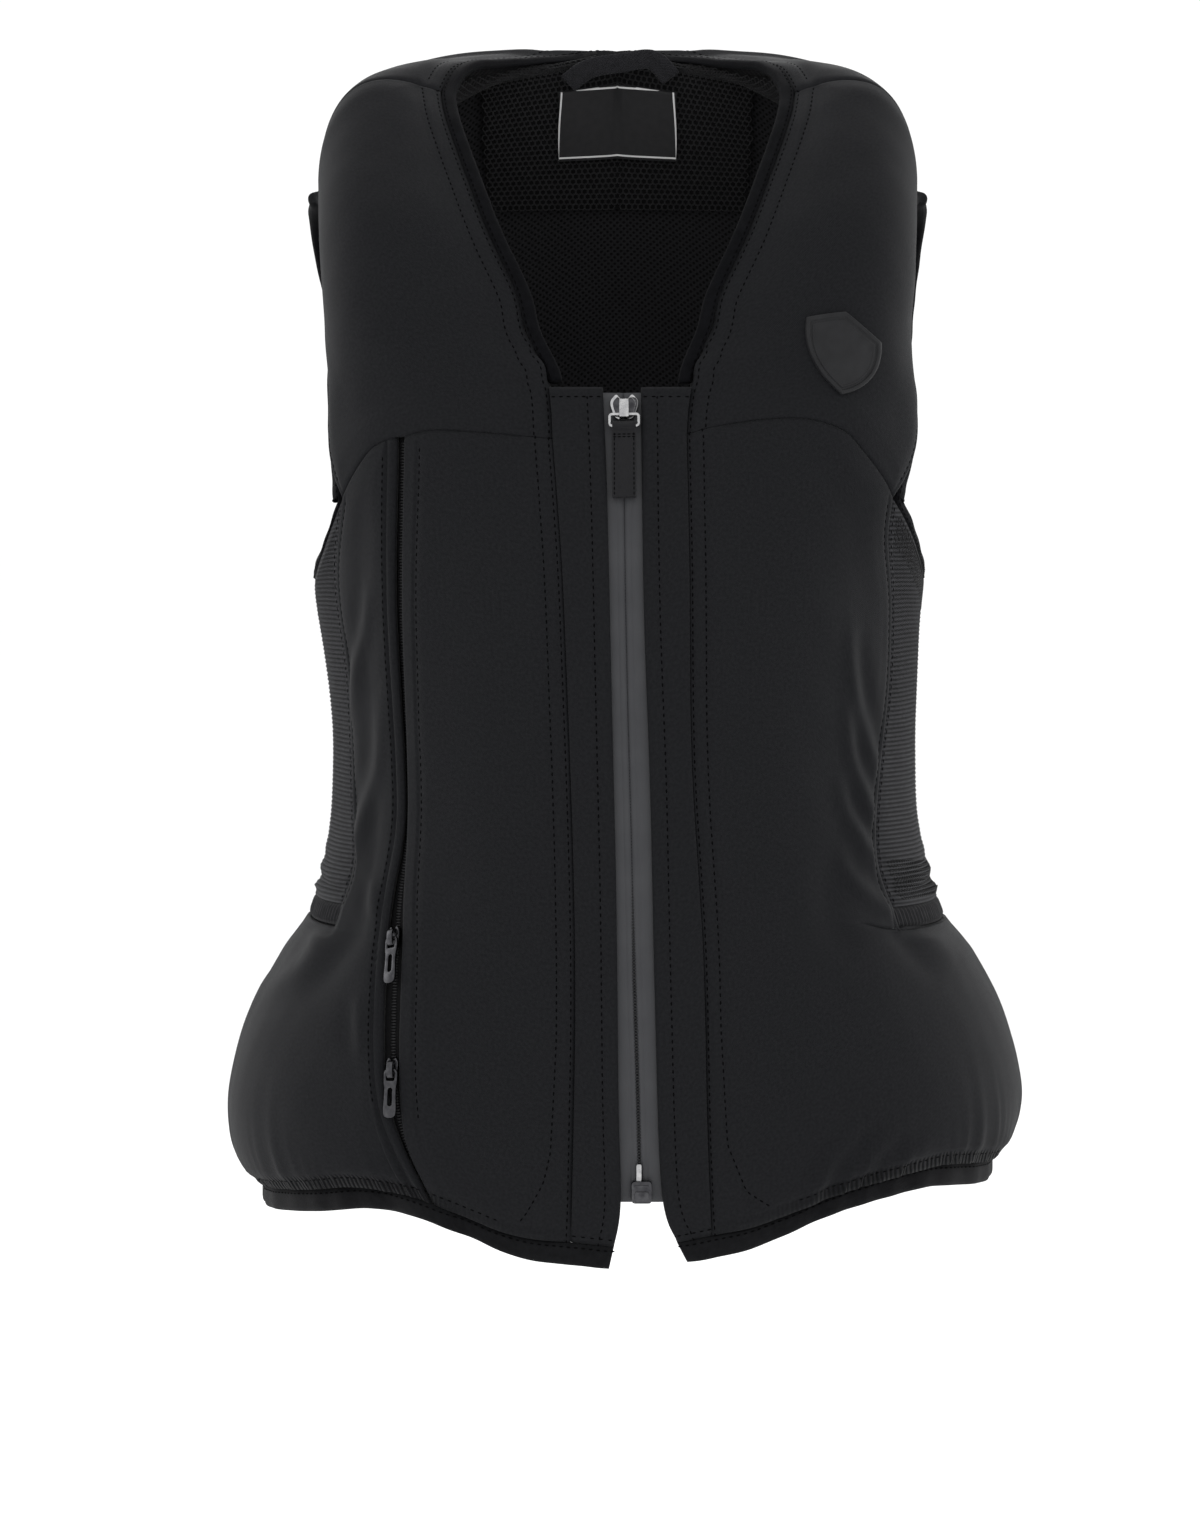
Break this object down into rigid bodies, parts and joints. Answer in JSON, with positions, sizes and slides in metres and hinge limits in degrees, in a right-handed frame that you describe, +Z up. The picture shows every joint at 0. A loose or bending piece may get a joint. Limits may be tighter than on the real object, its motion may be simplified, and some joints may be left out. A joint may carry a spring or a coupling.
{
  "type": "airbag vest",
  "caption": "Sleeveless padded airbag vest with a front zip, a zipped front seam pocket, stretch ribbed side panels and bound neck, armholes and hem.",
  "frame": {"origin": "midway between the shoulders, at the height where the inside of the shoulder pads rests on them", "axes": "+Z up, -Y the way the wearer faces, +X towards the wearer's left"},
  "size_m": [0.3648, 0.2539, 0.5505],
  "materials": {
    "shell": "matte stretch softshell",
    "rib_knit": "matte ribbed stretch knit",
    "binding": "matte elastic tape",
    "spacer_mesh": "matte open mesh",
    "label": "smooth woven",
    "zip_tape": "satin woven tape",
    "pocket_coil": "matte coil",
    "nickel": "satin nickel",
    "gunmetal": "semi-gloss dark",
    "webbing": "matte woven webbing",
    "rubber": "matte moulded"
  },
  "bodies": {
    "vest": {"placket_right": "shell", "placket_left": "shell", "front_right": "shell", "side_front_right": "shell", "front_left": "shell", "yoke_right": "shell", "yoke_left": "shell", "back_panel": "shell", "side_panel_right": "rib_knit", "side_panel_left": "rib_knit", "side_band_right": "binding", "side_band_left": "binding", "neck_binding": "binding", "armhole_binding_right": "binding", "armhole_binding_left": "binding", "hem_binding": "binding", "neck_lining": "spacer_mesh", "neck_label": "label", "zip_tape_right": "zip_tape", "zip_tape_left": "zip_tape", "pocket_zip_tape": "pocket_coil", "zip_slider": "nickel", "zip_box": "gunmetal", "pocket_slider_upper": "gunmetal", "pocket_slider_lower": "gunmetal", "hanger_loop": "webbing", "chest_badge": "rubber"},
    "main_pull": {"zip_pull_ring": "nickel", "zip_pull_tab": "webbing"},
    "upper_pocket_pull": {"pocket_pull_upper": "gunmetal"},
    "lower_pocket_pull": {"pocket_pull_lower": "gunmetal"}
  },
  "joints": [
    {"name": "main_pull_swing", "type": "hinge", "parent": "vest", "child": "main_pull", "pos_m": [0.00044, -0.10639, -0.10918], "axis": [-0.9992, 0.0374, -0.013], "range_deg": [0, 114]},
    {"name": "upper_pocket_pull_swing", "type": "hinge", "parent": "vest", "child": "upper_pocket_pull", "pos_m": [-0.10194, -0.10326, -0.34009], "axis": [-0.8025, 0.5621, -0.2002], "range_deg": [0, 150]},
    {"name": "lower_pocket_pull_swing", "type": "hinge", "parent": "vest", "child": "lower_pocket_pull", "pos_m": [-0.102, -0.11684, -0.39725], "axis": [-0.922, 0.3852, -0.0401], "range_deg": [0, 150]}
  ]
}
